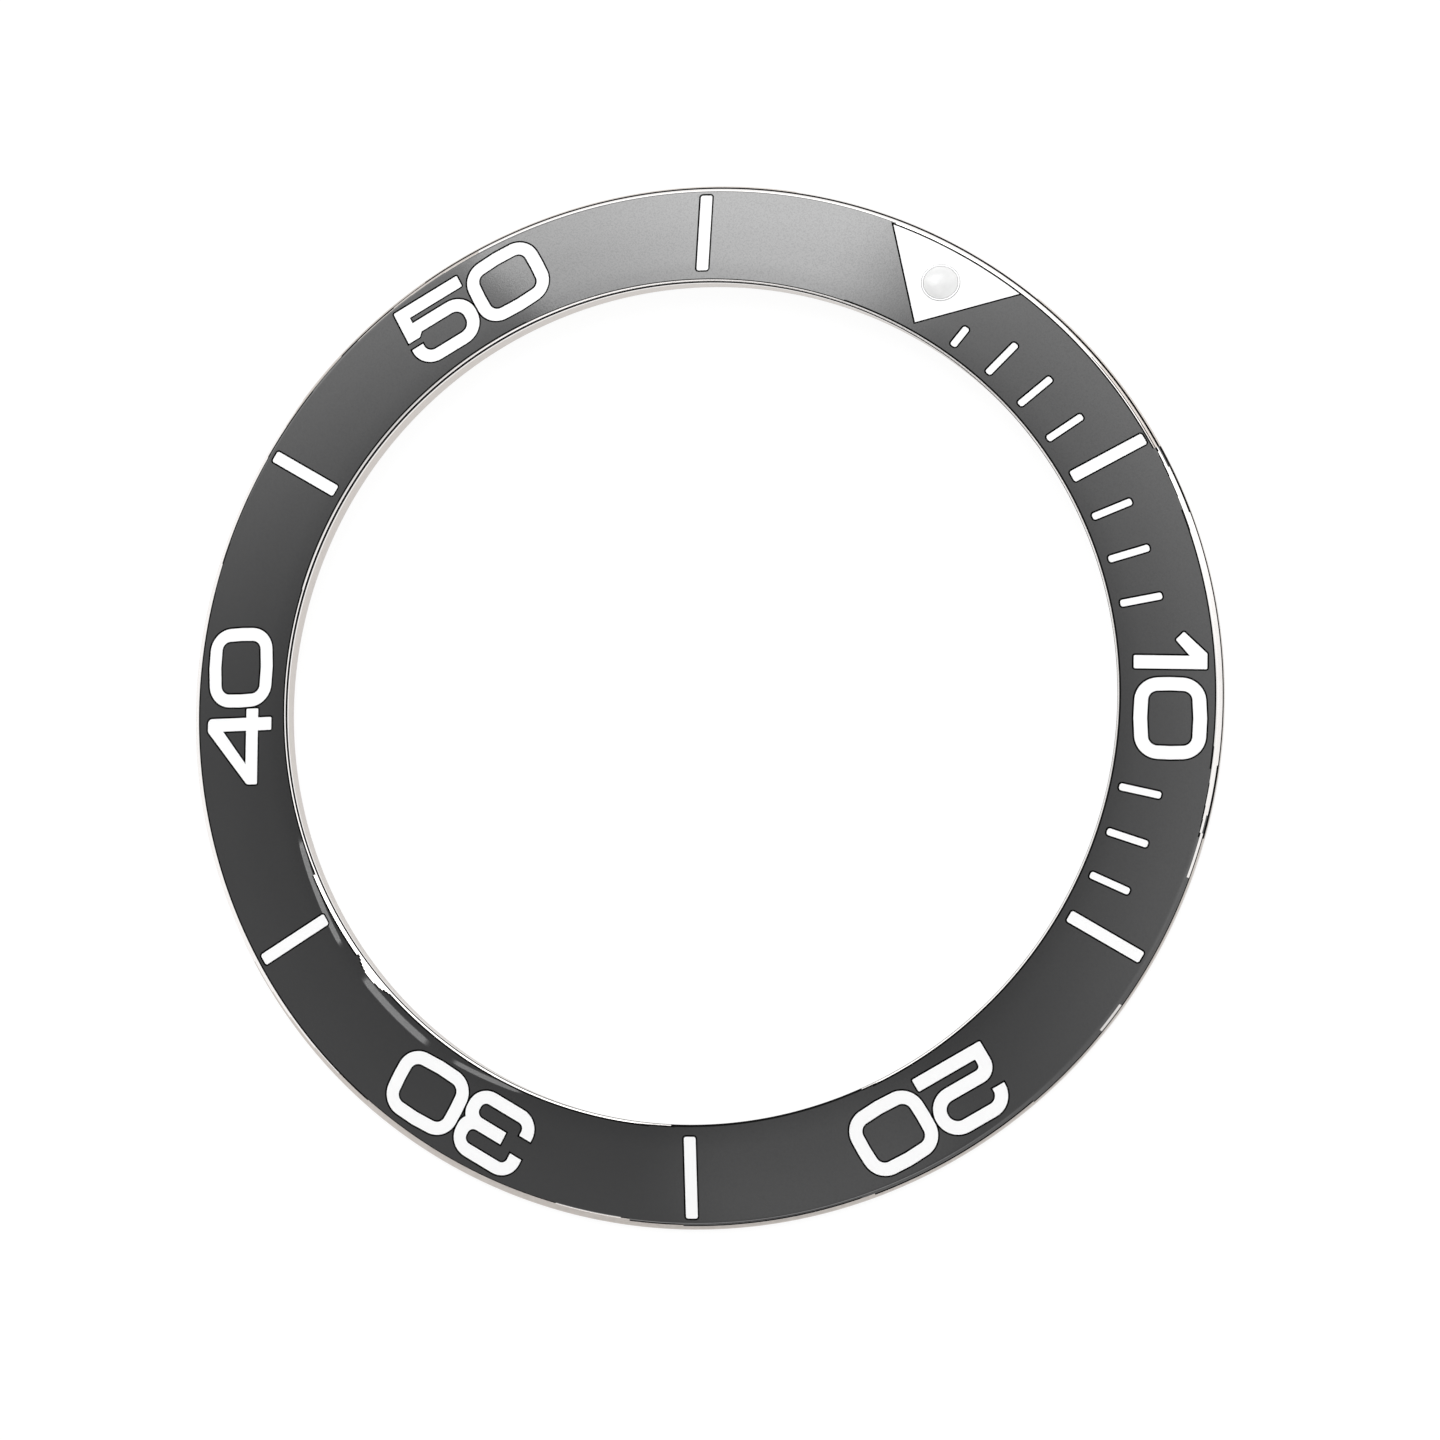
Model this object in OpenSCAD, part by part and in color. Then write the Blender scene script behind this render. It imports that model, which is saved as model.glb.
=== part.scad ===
// Sloped bezel insert for a diver's watch: a black-faced aluminium ring with bright-cut edges,
// whose minute scale is sunk into its face and filled, with a luminous pip in the triangle at
// the zero mark.
// Sizes are in millimetres. The origin is on the ring's axis, in its flat back. +Z points
// out of the face, the zero mark is at +Y, and the minutes run clockwise seen from above.

/* [Ring] */
// Outside diameter of the ring, which drops into the bezel's seat
outer_d = 38; // [36:0.1:42]
// Width of the ring from its outer wall to its bore, which clears the crystal's rim
band_w = 3.7; // [3.4:0.05:4.2]
// Height of the straight outer wall
outer_wall_h = 0.2; // [0.1:0.01:0.3]
// Height of the face at its inner edge
face_inner_h = 1.13; // [1.05:0.01:1.8]
// Slope of the face down to its outer edge, in degrees
face_slope = 11.8; // [8:0.1:12.5]
// Width of the bevel round the outer edge, seen from above
bevel_w = 0.21; // [0.1:0.01:0.3]
// Width of the chamfer round the bore, seen from above
chamfer_w = 0.07; // [0.03:0.01:0.15]
// Height of the chamfer round the bore
chamfer_h = 0.06; // [0.03:0.01:0.15]

/* [Sunk markings] */
// Depth of the recesses, straight down from the face
recess_depth = 0.18; // [0.1:0.01:0.22]
// Groove left open between a filling and the wall of its recess
fill_gap = 0.05; // [0.02:0.005:0.08]
// How far the fillings stay below the face
fill_sink = 0.02; // [0.01:0.005:0.05]
// Thickness of the bond line under each piece that is set into the ring
bond_gap = 0.01; // [0.005:0.001:0.02]

/* [Minute marks] */
// Distance of the marks' inner ends from the inner edge of the face
mark_inset = 0.36; // [0.2:0.01:0.6]
// Distance of the long bars' outer ends from the outer edge of the face
bar_inset = 0.17; // [0.1:0.01:0.5]
// Width of the long five-minute bars
bar_w = 0.43; // [0.2:0.01:0.8]
// Corner radius of the long bars
bar_corner_r = 0.08; // [0.02:0.01:0.1]
// Width of the one-minute ticks
tick_w = 0.25; // [0.15:0.01:0.5]
// Length of the one-minute ticks
tick_len = 1.48; // [0.6:0.01:2]
// Length of the first tick, which is cut short beside the triangle
first_tick_len = 0.84; // [0.5:0.01:1.3]
// Corner radius of the ticks
tick_corner_r = 0.09; // [0.02:0.01:0.12]

/* [Zero triangle and pip] */
// Angle between the two sides of the triangle, in degrees
triangle_angle = 88; // [70:1:96]
// Rim of the face left between the triangle's filling and the bevel
triangle_rim = 0.1; // [0.08:0.01:0.3]
// Outside diameter of the pip's cup
pip_d = 1.39; // [1:0.01:1.5]
// Distance of the pip's centre from the outer edge of the face
pip_inset = 1.33; // [1.2:0.01:1.5]
// Depth of the pip's pocket, square to the face
pip_depth = 0.42; // [0.35:0.01:0.5]
// Thickness of the cup's wall
cup_wall = 0.06; // [0.04:0.01:0.12]
// Thickness of the cup's floor
cup_floor = 0.07; // [0.05:0.01:0.12]
// Depth of the lens below the cup's rim
lens_seat = 0.1; // [0.05:0.01:0.15]
// How far the lens's dome rises above the cup's rim
dome_rise = 0.09; // [0.04:0.01:0.2]
// Clearance round the cup in its pocket, and round what sits in the cup
pip_gap = 0.01; // [0.005:0.005:0.03]

/* [Numerals] */
// Distance of the numerals' tops from the outer edge of the face
numeral_outer_inset = 0.36; // [0.3:0.01:0.6]
// Distance of the numerals' feet from the inner edge of the face
numeral_inner_inset = 0.5; // [0.35:0.01:0.8]
// Width of the stroke that the numerals are drawn with
stroke = 0.475; // [0.3:0.005:0.5]
// Width of the zero
zero_w = 2.94; // [2.4:0.01:3.1]
// Width of the two, the four and the five
digit_w = 2.79; // [2.3:0.01:2.9]
// Width of the three
three_w = 2.7; // [2.3:0.01:2.9]
// Width of the one
one_w = 1.34; // [1.1:0.01:1.6]
// Gap between the two digits of a number
digit_gap = 0.06; // [0.03:0.01:0.2]
// Gap between the one and the zero of the ten
one_gap = 0.3; // [0.1:0.01:0.4]
// Radius of the large outer curves of the digits
curve_r = 0.85; // [0.6:0.01:0.9]
// Radius of the smaller outer curves, at the heel of the two and the waist of the three
heel_r = 0.62; // [0.4:0.01:0.7]
// Radius inside the bowls of the two and the five
bowl_r = 0.38; // [0.2:0.01:0.4]
// Radius inside the zero and inside the open ends of the two and the five
counter_r = 0.34; // [0.15:0.01:0.36]
// Radius inside the narrow bowls of the three and in the slot of the two
slot_r = 0.24; // [0.1:0.01:0.25]
// Radius of the blunt corners of the four
blunt_r = 0.17; // [0.1:0.01:0.25]
// Radius that breaks the square corners of the digits
corner_r = 0.05; // [0.02:0.005:0.1]
// Radius of the faint swell along the four sides of the zero
swell_r = 7; // [4:0.5:20]

/* [Hidden] */
$fn = 64;
ring_fn = 240;
arc_steps = 5;
lap = 1;

outer_r = outer_d / 2;
bore_r = outer_r - band_w;
face_in_r = bore_r + chamfer_w;
face_out_r = outer_r - bevel_w;
mark_in_r = face_in_r + mark_inset;
bar_out_r = face_out_r - bar_inset;
numeral_in_r = face_in_r + numeral_inner_inset;
numeral_h = face_out_r - numeral_outer_inset - numeral_in_r;
triangle_out_r = face_out_r - triangle_rim;
pip_r = face_out_r - pip_inset;
cup_r = pip_d / 2;
cup_bore_r = cup_r - cup_wall;
lens_r = cup_bore_r - pip_gap;
dome_r = (lens_r * lens_r + dome_rise * dome_rise) / (2 * dome_rise);

black = [0.2, 0.2, 0.21];
filling = [0.97, 0.98, 0.98];
silver = [0.78, 0.79, 0.8];
glow = [0.9, 0.95, 0.88];
clear = [0.93, 0.94, 0.94, 0.6];

// Height of the face above the back, at a distance from the axis
function face_z(r) = face_inner_h - (r - face_in_r) * tan(face_slope);

// The space over the whole face between two heights measured from it, straight up
module face_layer(low, high) {
    inner = bore_r - lap;
    outer = outer_r + lap;
    rotate_extrude($fn = ring_fn)
        polygon([
            [inner, face_z(inner) + low],
            [outer, face_z(outer) + low],
            [outer, face_z(outer) + high],
            [inner, face_z(inner) + high]
        ]);
}

// Outward normal of the edge from a to b of an outline that runs counter-clockwise
function edge_normal(a, b) = [b.y - a.y, a.x - b.x] / norm(b - a);

// Corner where two edges meet after both have moved out by d along their normals
function moved_corner(p, n1, n2, d) = p + d * (n1 + n2) / (1 + n1 * n2);

// Points of the arc that rounds a corner, between the normals of its two edges
function arc_points(centre, r, n1, n2) = [
    for (i = [0 : arc_steps])
        let (n = n1 + (n2 - n1) * i / arc_steps)
            centre + r * n / norm(n)
];

// A convex outline with slanted edges, counter-clockwise, with a radius at each corner. It
// moves out by grow on every side, or in where grow is negative, and its arcs stay concentric.
module tile(points, radii, grow) {
    count = len(points);
    function before(i) = edge_normal(points[(i + count - 1) % count], points[i]);
    function after(i) = edge_normal(points[i], points[(i + 1) % count]);
    function moved(i, d) = moved_corner(points[i], before(i), after(i), d);
    function corner(i) = radii[i] > max(0, -grow)
        ? arc_points(moved(i, -radii[i]), radii[i] + grow, before(i), after(i))
        : [moved(i, grow)];
    polygon([for (i = [0 : count - 1]) each corner(i)]);
}

// An upright box from its low corner to its high corner, which grows as a tile does. The
// radii are given as lower left, lower right, upper right and upper left. They stop at half
// of the shorter side.
module box(low, high, radii, grow) {
    limit = min(high.x - low.x, high.y - low.y) / 2;
    r = [for (given = radii) given > 0 ? max(min(given, limit) + grow, 0) : 0];
    left = low.x - grow;
    bottom = low.y - grow;
    right = high.x + grow;
    top = high.y + grow;
    polygon([
        [left + r[0], bottom], [right - r[1], bottom],
        [right, bottom + r[1]], [right, top - r[2]],
        [right - r[2], top], [left + r[3], top],
        [left, top - r[3]], [left, bottom + r[0]]
    ]);
    centres = [
        [left + r[0], bottom + r[0]], [right - r[1], bottom + r[1]],
        [right - r[2], top - r[2]], [left + r[3], top - r[3]]
    ];
    for (i = [0 : 3])
        if (r[i] > 0)
            translate(centres[i])
                circle(r[i]);
}

// An outline about its centre whose four sides are faint arcs of radius swell, with corner
// arcs of radius r that are tangent to them
module swelled_box(w, h, r, swell) {
    // The centres of the side arcs lie at x = a and -a, and those of the end arcs at b and -b
    a = swell - w / 2;
    b = swell - h / 2;
    // A corner's centre is this far from the centres of both arcs that it touches
    reach = swell - r;
    ratio = a / b;
    lift = (a * a - b * b) / (2 * b);
    half = (a + ratio * lift) / (1 + ratio * ratio);
    rest = (a * a + lift * lift - reach * reach) / (1 + ratio * ratio);
    cx = sqrt(half * half - rest) - half;
    cy = ratio * cx + lift;
    side_y = cy + r * cy / reach;
    end_x = cx + r * cx / reach;
    intersection() {
        square([2 * w, 2 * side_y], center = true);
        translate([a, 0])
            circle(swell, $fn = ring_fn);
        translate([-a, 0])
            circle(swell, $fn = ring_fn);
    }
    intersection() {
        square([2 * end_x, 2 * h], center = true);
        translate([0, b])
            circle(swell, $fn = ring_fn);
        translate([0, -b])
            circle(swell, $fn = ring_fn);
    }
    for (sx = [-1, 1], sy = [-1, 1])
        translate([sx * cx, sy * cy])
            circle(r);
}

// The digits stand on y = 0 with their left edge at x = 0. Each is cut larger by grow all
// round, so that one outline gives both a filling and its recess.
module zero(grow) {
    inner_w = zero_w - 2 * stroke;
    inner_h = numeral_h - 2 * stroke;
    translate([zero_w / 2, numeral_h / 2])
        difference() {
            swelled_box(zero_w + 2 * grow, numeral_h + 2 * grow, curve_r + grow, swell_r + grow);
            swelled_box(inner_w - 2 * grow, inner_h - 2 * grow, counter_r - grow, swell_r - grow);
        }
}

// A stem with a slanted flag
module one(grow) {
    flag_tip = [0, 0.68 * numeral_h];
    flag_heel = [0.22 * one_w, 0.57 * numeral_h];
    flag_crotch = [one_w - stroke / 2, 0.84 * numeral_h];
    flag_top = [0.58 * one_w, numeral_h];
    box([one_w - stroke, 0], [one_w, numeral_h], [corner_r, corner_r, corner_r, 0], grow);
    tile(
        [flag_tip, flag_heel, flag_crotch, [one_w - corner_r, numeral_h], flag_top],
        [corner_r, corner_r, 0, 0, corner_r], grow
    );
}

// A bowl that is open at the left, a band that turns down into the heel, and a flat base
module two(grow) {
    band_low = 0.42 * numeral_h - stroke / 2;
    band_high = band_low + stroke;
    hook_y = 0.65 * numeral_h;
    middle = digit_w / 2;
    difference() {
        box([0, band_low], [digit_w, numeral_h], [0, curve_r, curve_r, curve_r], grow);
        box(
            [stroke, band_high], [digit_w - stroke, numeral_h - stroke],
            [0, bowl_r, bowl_r, counter_r], -grow
        );
        box([-lap, band_low - lap], [middle, hook_y], [0, 0, 0, 0], -grow);
    }
    difference() {
        box([0, 0], [middle + stroke, band_high], [corner_r, 0, 0, heel_r], grow);
        box([stroke, stroke], [digit_w, band_low], [corner_r, 0, 0, slot_r], -grow);
    }
    box([0, 0], [digit_w, stroke], [corner_r, corner_r, corner_r, 0], grow);
}

// Two bowls that share their middle bar and are open at the left
module three(grow) {
    band_low = (numeral_h - stroke) / 2;
    band_high = band_low + stroke;
    lower_hook_y = 0.345 * numeral_h;
    upper_hook_y = 0.63 * numeral_h;
    bar_x = 2 * stroke;
    difference() {
        union() {
            box([0, band_low], [three_w, numeral_h], [0, heel_r, curve_r, curve_r], grow);
            box([0, 0], [three_w, band_high], [curve_r, curve_r, heel_r, 0], grow);
        }
        box(
            [stroke, band_high], [three_w - stroke, numeral_h - stroke],
            [0, slot_r, slot_r, slot_r], -grow
        );
        box([stroke, stroke], [three_w - stroke, band_low], [slot_r, slot_r, slot_r, 0], -grow);
        box([-lap, lower_hook_y], [bar_x, upper_hook_y], [0, 0, 0, 0], -grow);
    }
}

// A stem and a crossbar, with a slope from the top of the stem to the end of the bar
module four(grow) {
    stem_high = 0.88 * digit_w;
    stem_low = stem_high - stroke;
    bar_low = 0.21 * numeral_h;
    bar_high = bar_low + stroke;
    knee = [0, 0.37 * numeral_h];
    brow = [0.71 * digit_w, numeral_h];
    crotch_x = 0.27 * digit_w;
    crotch_y = 0.76 * numeral_h;
    difference() {
        union() {
            tile(
                [[0, bar_low], [stem_high, bar_low], [stem_high, numeral_h], brow, knee],
                [corner_r, 0, blunt_r, blunt_r, blunt_r], grow
            );
            box([stem_low, 0], [stem_high, numeral_h / 2], [corner_r, corner_r, 0, 0], grow);
            box([stem_low, bar_low], [digit_w, bar_high], [0, corner_r, corner_r, 0], grow);
        }
        tile([[crotch_x, bar_high], [stem_low, bar_high], [stem_low, crotch_y]], [0, 0, 0], -grow);
    }
}

// A flag and a short stem over a bowl that is open at the left
module five(grow) {
    flag_low = numeral_h - stroke;
    flag_x = digit_w - corner_r;
    bowl_high = flag_low - 0.095 * numeral_h;
    band_low = bowl_high - stroke;
    foot_y = 0.47 * numeral_h;
    hook_y = 0.355 * numeral_h;
    web_x = stroke + band_low - foot_y;
    difference() {
        union() {
            box([0, flag_low], [flag_x, numeral_h], [0, corner_r, corner_r, corner_r], grow);
            box([0, foot_y], [stroke, numeral_h], [0, 0, 0, corner_r], grow);
            box([0, 0], [digit_w, bowl_high], [curve_r, curve_r, curve_r, 0], grow);
        }
        difference() {
            box(
                [stroke, stroke], [digit_w - stroke, band_low],
                [counter_r, bowl_r, bowl_r, 0], -grow
            );
            // The slope that fills the corner between the stem's foot and the band
            tile([[0, foot_y], [stroke, foot_y], [web_x, band_low], [0, band_low]], [0, 0, 0, 0], grow);
        }
        box([-lap, hook_y], [stroke + corner_r, foot_y], [0, 0, 0, 0], -grow);
    }
}

function tens_w(tens) = tens == 1 ? one_w : tens == 3 ? three_w : digit_w;
function tens_gap(tens) = tens == 1 ? one_gap : digit_gap;

// Turns what is drawn at the zero mark round to its minute
module at_minute(minute) {
    rotate(-6 * minute)
        children();
}

module tens_outline(tens, grow) {
    at_minute(10 * tens)
        translate([-(tens_w(tens) + tens_gap(tens) + zero_w) / 2, numeral_in_r]) {
            if (tens == 1)
                one(grow);
            if (tens == 2)
                two(grow);
            if (tens == 3)
                three(grow);
            if (tens == 4)
                four(grow);
            if (tens == 5)
                five(grow);
        }
}

module zero_outline(tens, grow) {
    at_minute(10 * tens)
        translate([(tens_w(tens) + tens_gap(tens) - zero_w) / 2, numeral_in_r])
            zero(grow);
}

module bar_outline(minute, grow) {
    r = bar_corner_r;
    at_minute(minute)
        box([-bar_w / 2, mark_in_r], [bar_w / 2, bar_out_r], [r, r, r, r], grow);
}

module tick_outline(minute, grow) {
    r = tick_corner_r;
    length = minute == 1 ? first_tick_len : tick_len;
    at_minute(minute)
        box([-tick_w / 2, mark_in_r], [tick_w / 2, mark_in_r + length], [r, r, r, r], grow);
}

// The triangle points at the bore, and its outer side follows the face's edge
module triangle_outline(grow) {
    half = triangle_angle / 2;
    apex_y = mark_in_r - grow / sin(half);
    side = outer_r;
    intersection() {
        circle(triangle_out_r + grow, $fn = ring_fn);
        polygon([
            [0, apex_y],
            [side * sin(half), apex_y + side * cos(half)],
            [-side * sin(half), apex_y + side * cos(half)]
        ]);
    }
}

module all_outlines(grow) {
    triangle_outline(grow);
    for (minute = [5 : 10 : 55])
        bar_outline(minute, grow);
    for (minute = [1, 2, 3, 4, 6, 7, 8, 12, 13, 14])
        tick_outline(minute, grow);
    for (tens = [1 : 5]) {
        tens_outline(tens, grow);
        zero_outline(tens, grow);
    }
}

// A filling: the outline drawn by its children, between its bond line and its sunk surface
module inlay() {
    color(filling)
        intersection() {
            linear_extrude(height = face_inner_h + lap)
                children();
            face_layer(bond_gap - recess_depth, -fill_sink);
        }
}

// The pip's own frame: its origin is in the face at the pip's centre, and z is square to
// the face, so that the pip leans outwards with the slope
module pip_frame() {
    translate([0, pip_r, face_z(pip_r)])
        rotate([-face_slope, 0, 0])
            children();
}

module pip_pocket(depth) {
    pip_frame()
        translate([0, 0, -depth])
            cylinder(r = cup_r + pip_gap, h = depth + lap);
}

module bezel_ring() {
    color(black)
        difference() {
            rotate_extrude($fn = ring_fn)
                polygon([
                    [bore_r, 0],
                    [outer_r, 0],
                    [outer_r, outer_wall_h],
                    [face_out_r, face_z(face_out_r)],
                    [face_in_r, face_inner_h],
                    [bore_r, face_inner_h - chamfer_h]
                ]);
            intersection() {
                linear_extrude(height = face_inner_h + lap)
                    all_outlines(fill_gap);
                face_layer(-recess_depth, lap);
            }
            pip_pocket(pip_depth);
        }
}

module zero_triangle() {
    difference() {
        inlay()
            triangle_outline(0);
        pip_pocket(pip_depth);
    }
}

module pip_cup() {
    low = bond_gap - pip_depth;
    color(silver)
        pip_frame()
            difference() {
                translate([0, 0, low])
                    cylinder(r = cup_r, h = -low);
                translate([0, 0, low + cup_floor])
                    cylinder(r = cup_bore_r, h = lap);
            }
}

module pip_lume() {
    low = bond_gap - pip_depth + cup_floor;
    color(glow)
        pip_frame()
            translate([0, 0, low])
                cylinder(r = lens_r, h = -lens_seat - low);
}

// The lens is a plug with a low dome, cut from a sphere that meets the plug's rim
module pip_lens() {
    color(clear)
        pip_frame()
            intersection() {
                translate([0, 0, -lens_seat])
                    cylinder(r = lens_r, h = lens_seat + dome_rise);
                translate([0, 0, dome_rise - dome_r])
                    sphere(dome_r);
            }
}

module bar(minute) {
    inlay()
        bar_outline(minute, 0);
}

module tick(minute) {
    inlay()
        tick_outline(minute, 0);
}

module numeral_tens(tens) {
    inlay()
        tens_outline(tens, 0);
}

module numeral_zero(tens) {
    inlay()
        zero_outline(tens, 0);
}

bezel_ring();
zero_triangle();
pip_cup();
pip_lume();
pip_lens();
bar(5);  // bar_05
bar(15);  // bar_15
bar(25);  // bar_25
bar(35);  // bar_35
bar(45);  // bar_45
bar(55);  // bar_55
tick(1);  // tick_01
tick(2);  // tick_02
tick(3);  // tick_03
tick(4);  // tick_04
tick(6);  // tick_06
tick(7);  // tick_07
tick(8);  // tick_08
tick(12);  // tick_12
tick(13);  // tick_13
tick(14);  // tick_14
numeral_tens(1);  // numeral_10_one
numeral_zero(1);  // numeral_10_zero
numeral_tens(2);  // numeral_20_two
numeral_zero(2);  // numeral_20_zero
numeral_tens(3);  // numeral_30_three
numeral_zero(3);  // numeral_30_zero
numeral_tens(4);  // numeral_40_four
numeral_zero(4);  // numeral_40_zero
numeral_tens(5);  // numeral_50_five
numeral_zero(5);  // numeral_50_zero
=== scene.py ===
# %% [markdown]
# A sloped bezel insert for a diver's watch: a black ring of anodised aluminium, 38 mm across,
# with bright-cut edges, white fillings sunk into its face and a luminous pip at the zero mark.
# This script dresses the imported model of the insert. Sizes are in millimetres, which keeps them
# readable, and are turned to metres once, where a mesh is finished.

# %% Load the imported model
import math

import bpy
from mathutils import Matrix, Vector


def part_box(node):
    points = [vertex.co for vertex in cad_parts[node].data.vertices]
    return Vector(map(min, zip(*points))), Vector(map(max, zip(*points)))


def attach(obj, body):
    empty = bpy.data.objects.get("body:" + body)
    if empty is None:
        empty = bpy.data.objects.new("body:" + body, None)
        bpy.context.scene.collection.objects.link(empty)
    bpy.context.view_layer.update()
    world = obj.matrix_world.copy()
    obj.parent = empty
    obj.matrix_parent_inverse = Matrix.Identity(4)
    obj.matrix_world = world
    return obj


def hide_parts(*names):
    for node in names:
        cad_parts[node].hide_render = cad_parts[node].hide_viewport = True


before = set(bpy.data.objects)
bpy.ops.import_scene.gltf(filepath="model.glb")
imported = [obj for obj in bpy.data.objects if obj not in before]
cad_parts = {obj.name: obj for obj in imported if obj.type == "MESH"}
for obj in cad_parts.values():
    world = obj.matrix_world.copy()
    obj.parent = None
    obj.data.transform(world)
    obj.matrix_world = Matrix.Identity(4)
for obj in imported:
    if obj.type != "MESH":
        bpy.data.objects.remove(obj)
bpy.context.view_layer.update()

MM = 0.001


def in_scene(name, data):
    """A new object of this data, linked to the scene."""
    thing = bpy.data.objects.new(name, data)
    bpy.context.collection.objects.link(thing)
    return thing


print("nodes in the model:", len(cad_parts))

# %% [markdown]
# The camera comes first, because every look is judged through it. Its place was found by
# fitting the insert's circles and marks: it stands 217 mm away, almost overhead, leans towards
# the fifteen mark, and is rolled by 59 degrees. Its axes follow from a direction and a roll. The
# aim is how far the picture's middle lies from the insert's axis, to the right and up.

# %% Place the camera
AZIMUTH = 90.53
ELEVATION = 76.34
ROLL = math.radians(-59.38)
DISTANCE = 217.4
FOCAL_LENGTH = 150.16
SENSOR_WIDTH = 36
AIM_RIGHT = 0.655
AIM_UP = -0.604


def direction(azimuth, elevation):
    """The unit vector towards an azimuth and an elevation in degrees."""
    a, e = math.radians(azimuth), math.radians(elevation)
    return (math.sin(a) * math.cos(e), math.cos(a) * math.cos(e), math.sin(e))


back = Vector(direction(AZIMUTH, ELEVATION))
level_right = Vector((0, 0, 1)).cross(back).normalized()
level_up = back.cross(level_right)
right = math.cos(ROLL) * level_right + math.sin(ROLL) * level_up
up = math.cos(ROLL) * level_up - math.sin(ROLL) * level_right
aim = AIM_RIGHT * right + AIM_UP * up

eye = bpy.data.cameras.new("eye")
eye.lens = FOCAL_LENGTH
eye.sensor_width = SENSOR_WIDTH
eye.clip_start = 0.001
camera = in_scene("camera", eye)
axes = Matrix((right, up, back)).transposed().to_4x4()
camera.matrix_world = Matrix.Translation((back * DISTANCE + aim) * MM) @ axes
bpy.context.scene.camera = camera
print("camera at", [round(v, 1) for v in back * DISTANCE + aim], "mm")

# %% [markdown]
# Geometry trees, materials and the world are all nets of nodes, and two small classes write
# them. A Socket is one output of a node, and Python's own operators on it add Math nodes. A Net
# wraps a node tree. Its method for any node takes the node's type, its settings, and the values
# or links of its sockets. The others are short ways for common nodes.

# %% Helpers for nets of nodes
class Socket:
    """One output of a node, which can stand in an expression."""

    def __init__(self, net, output):
        self.net = net
        self.output = output

    def named(self, name):
        """Another output of the same node."""
        return Socket(self.net, self.output.node.outputs[name])

    def math(self, operation, *others):
        """A Math node of this output and the others."""
        return self.net.node("ShaderNodeMath", {"operation": operation}, [self, *others])

    def __add__(self, other):
        return self.math("ADD", other)

    __radd__ = __add__

    def __mul__(self, other):
        return self.math("MULTIPLY", other)

    __rmul__ = __mul__

    def __sub__(self, other):
        return self.math("SUBTRACT", other)

    def __rsub__(self, other):
        return self.net.node("ShaderNodeMath", {"operation": "SUBTRACT"}, [other, self])

    def __truediv__(self, other):
        return self.math("DIVIDE", other)

    def __pow__(self, other):
        return self.math("POWER", other)

    def __gt__(self, other):
        return self.math("GREATER_THAN", other)

    def __lt__(self, other):
        return self.math("LESS_THAN", other)


class Net:
    """A node tree that is written as expressions."""

    def __init__(self, tree):
        self.tree = tree

    def node(self, kind, settings=None, inputs=(), output=0):
        made = self.tree.nodes.new(kind)
        for name, value in (settings or {}).items():
            setattr(made, name, value)
        pairs = inputs.items() if isinstance(inputs, dict) else enumerate(inputs)
        for key, value in pairs:
            for one in value if isinstance(value, list) else [value]:
                if isinstance(one, Socket):
                    self.tree.links.new(one.output, made.inputs[key])
                else:
                    made.inputs[key].default_value = one
        return Socket(self, made.outputs[output]) if len(made.outputs) else made

    def blend(self, factor, low, high):
        """A colour between low and high."""
        ends = {0: factor, 6: (*low, 1), 7: (*high, 1)}
        return self.node("ShaderNodeMix", {"data_type": "RGBA"}, ends, 2)

    def ramp(self, value, start, end, low=0.0, high=1.0):
        """A smooth step of value from low at start to high at end."""
        settings = {"interpolation_type": "SMOOTHSTEP"}
        return self.node("ShaderNodeMapRange", settings, [value, start, end, low, high])

    def hill(self, value, start, top, brink, end):
        """A smooth hill: up from 0 at start to 1 at top, and down from brink to 0 at end."""
        return self.ramp(value, start, top) * self.ramp(value, end, brink)

    def around_axis(self, place):
        """Distance from the axis, degrees clockwise from the zero mark, and height of a place."""
        parts = self.node("ShaderNodeSeparateXYZ", inputs=[place])
        x, y = parts.named("X"), parts.named("Y")
        turn = x.math("ARCTAN2", y) * (180 / math.pi)
        return (x * x + y * y) ** 0.5, turn + (turn < 0) * 360, parts.named("Z")


def between(value, low, high):
    """1 where value is between low and high, otherwise 0."""
    return (value > low) * (value < high)


# %% [markdown]
# The outlines are drawn as corners with radii: a mark is a rounded box, and each digit is one
# closed path with its holes. No font has these digits, with one stroke width and square
# shoulders. A path can be moved out by a distance, so that one drawing gives both the filling
# and the wider recess around it: convex corners then gain radius, hollow ones lose it.

# %% Draw outlines with rounded corners
ARC_STEP = math.radians(9)


def arc(centre, radius, start, sweep):
    """Points on an arc, by its start angle and its sweep, both in radians."""
    count = max(2, math.ceil(abs(sweep) / ARC_STEP))
    turns = [start + sweep * i / count for i in range(count + 1)]
    return [(centre[0] + radius * math.cos(t), centre[1] + radius * math.sin(t)) for t in turns]


def rounded(corners, grow=0.0):
    """Points of a counter-clockwise path of (x, y, radius) corners, moved out by grow."""
    points = []
    for i, (x, y, radius) in enumerate(corners):
        here = Vector((x, y))
        into = (here - Vector(corners[i - 1][:2])).normalized()
        away = (Vector(corners[(i + 1) % len(corners)][:2]) - here).normalized()
        normal_in = Vector((into.y, -into.x))
        normal_out = Vector((away.y, -away.x))
        mitre = (normal_in + normal_out) / (1 + normal_in.dot(normal_out))
        turn = math.atan2(into.cross(away), into.dot(away))
        side = 1 if turn > 0 else -1
        rest = radius + side * grow
        if radius > 0 and rest > 0:
            centre = here - side * radius * mitre
            start = math.atan2(side * normal_in.y, side * normal_in.x)
            points += arc(centre, rest, start, turn)
        else:
            points.append(tuple(here + grow * mitre))
    return points


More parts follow.
